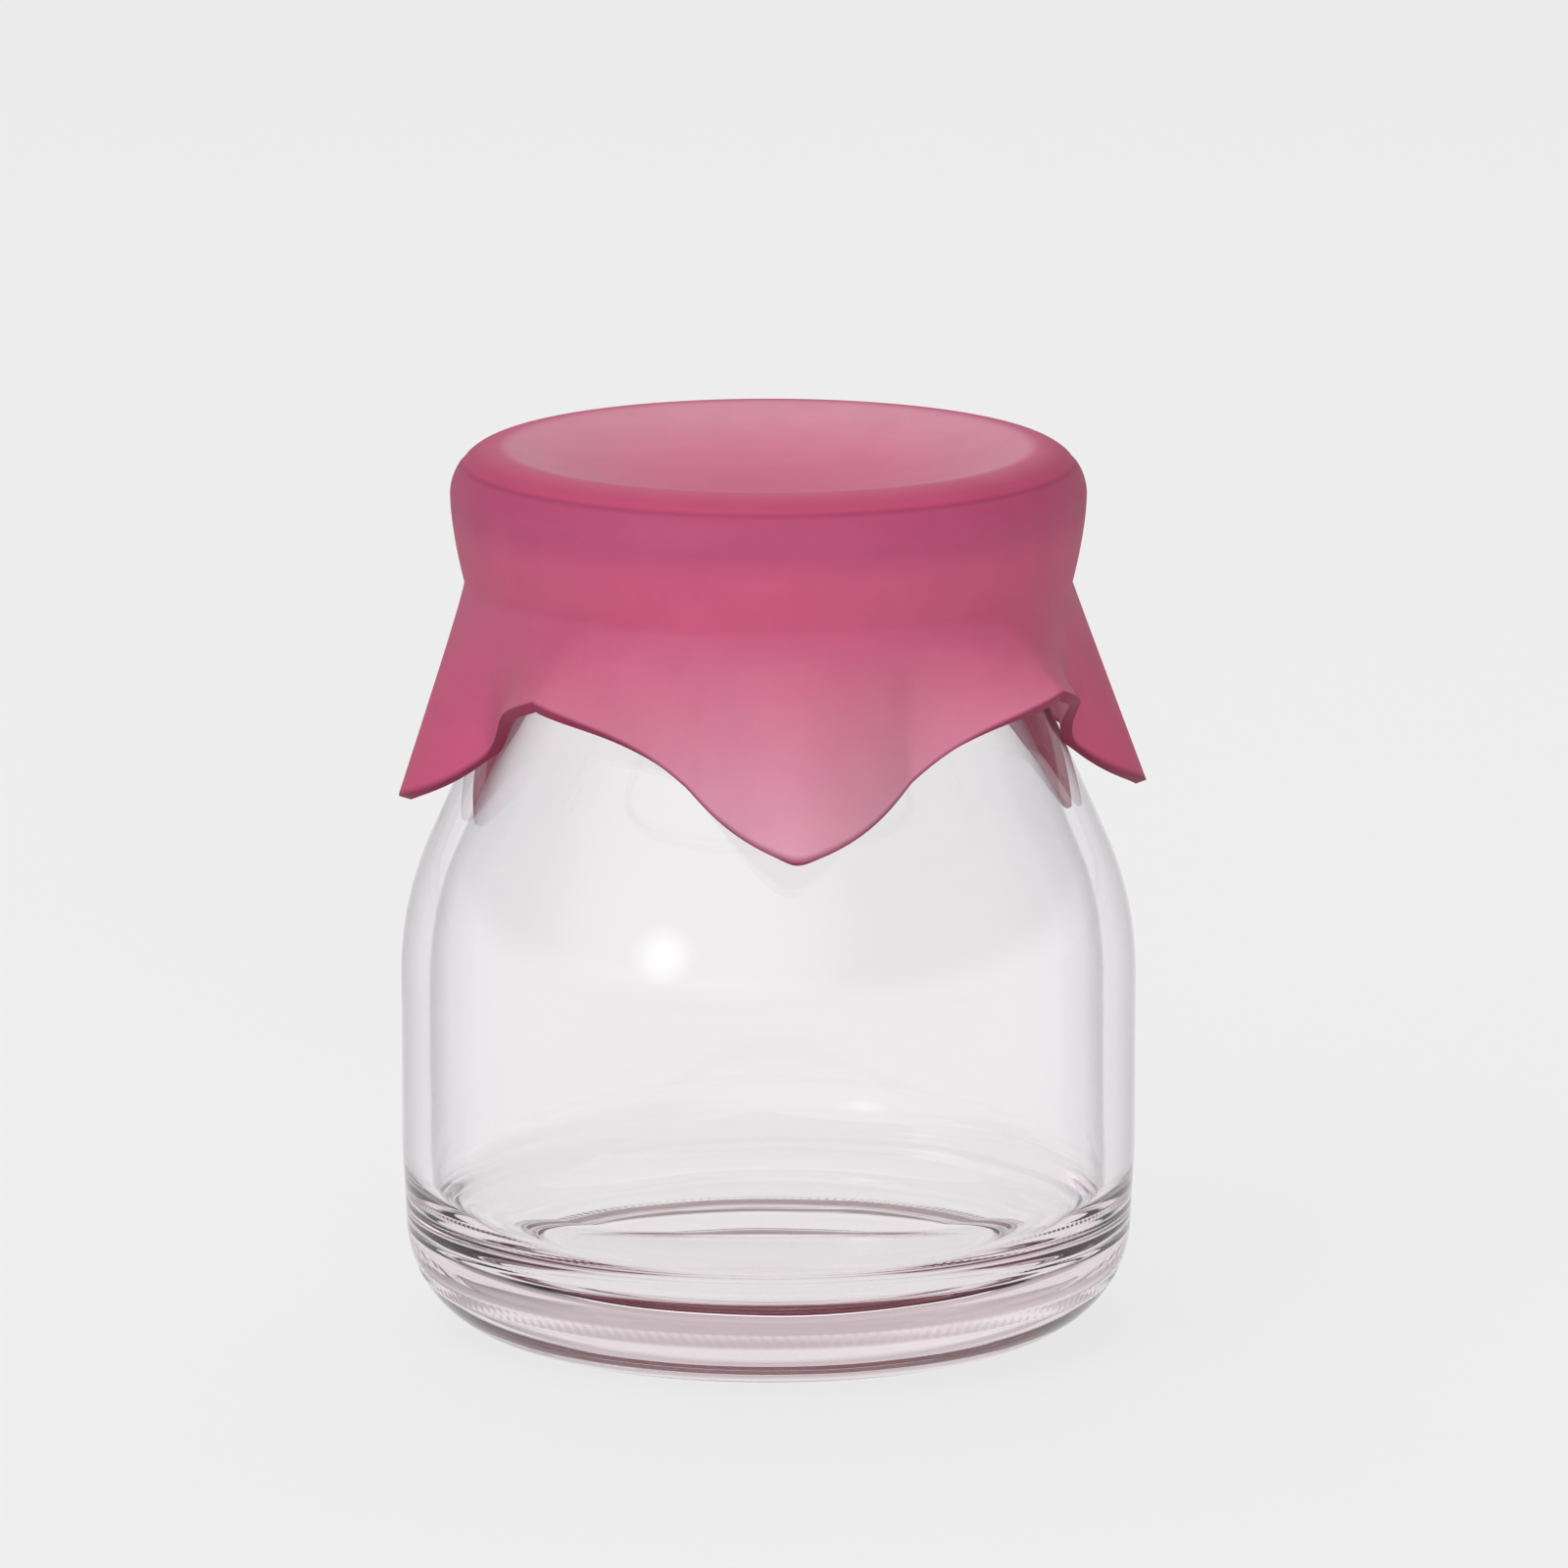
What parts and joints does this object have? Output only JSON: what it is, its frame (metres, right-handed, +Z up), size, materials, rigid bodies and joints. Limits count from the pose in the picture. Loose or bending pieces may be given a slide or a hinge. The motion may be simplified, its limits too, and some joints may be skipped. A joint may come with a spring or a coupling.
{
  "type": "glass pudding jar with plastic cap",
  "caption": "Small round-shouldered clear glass jar with a beaded mouth, closed by a soft rose plastic cap shaped like a gathered cloth with pointed corners.",
  "frame": {"origin": "centre of the flat surface that the jar stands on, on the jar's axis", "axes": "+Z up along the jar's axis; the four long points of the cap's skirt lie on +X, +Y, -X and -Y"},
  "size_m": [0.0582, 0.0588, 0.069],
  "materials": {
    "clear_glass": "clear polished soda-lime glass, smooth inside and out, stippled bearing ring",
    "rose_plastic": "soft translucent moulded polyethylene, satin to matte, very fine grain"
  },
  "bodies": {
    "root": {"glass_jar": "clear_glass", "cap": "rose_plastic"}
  },
  "joints": []
}
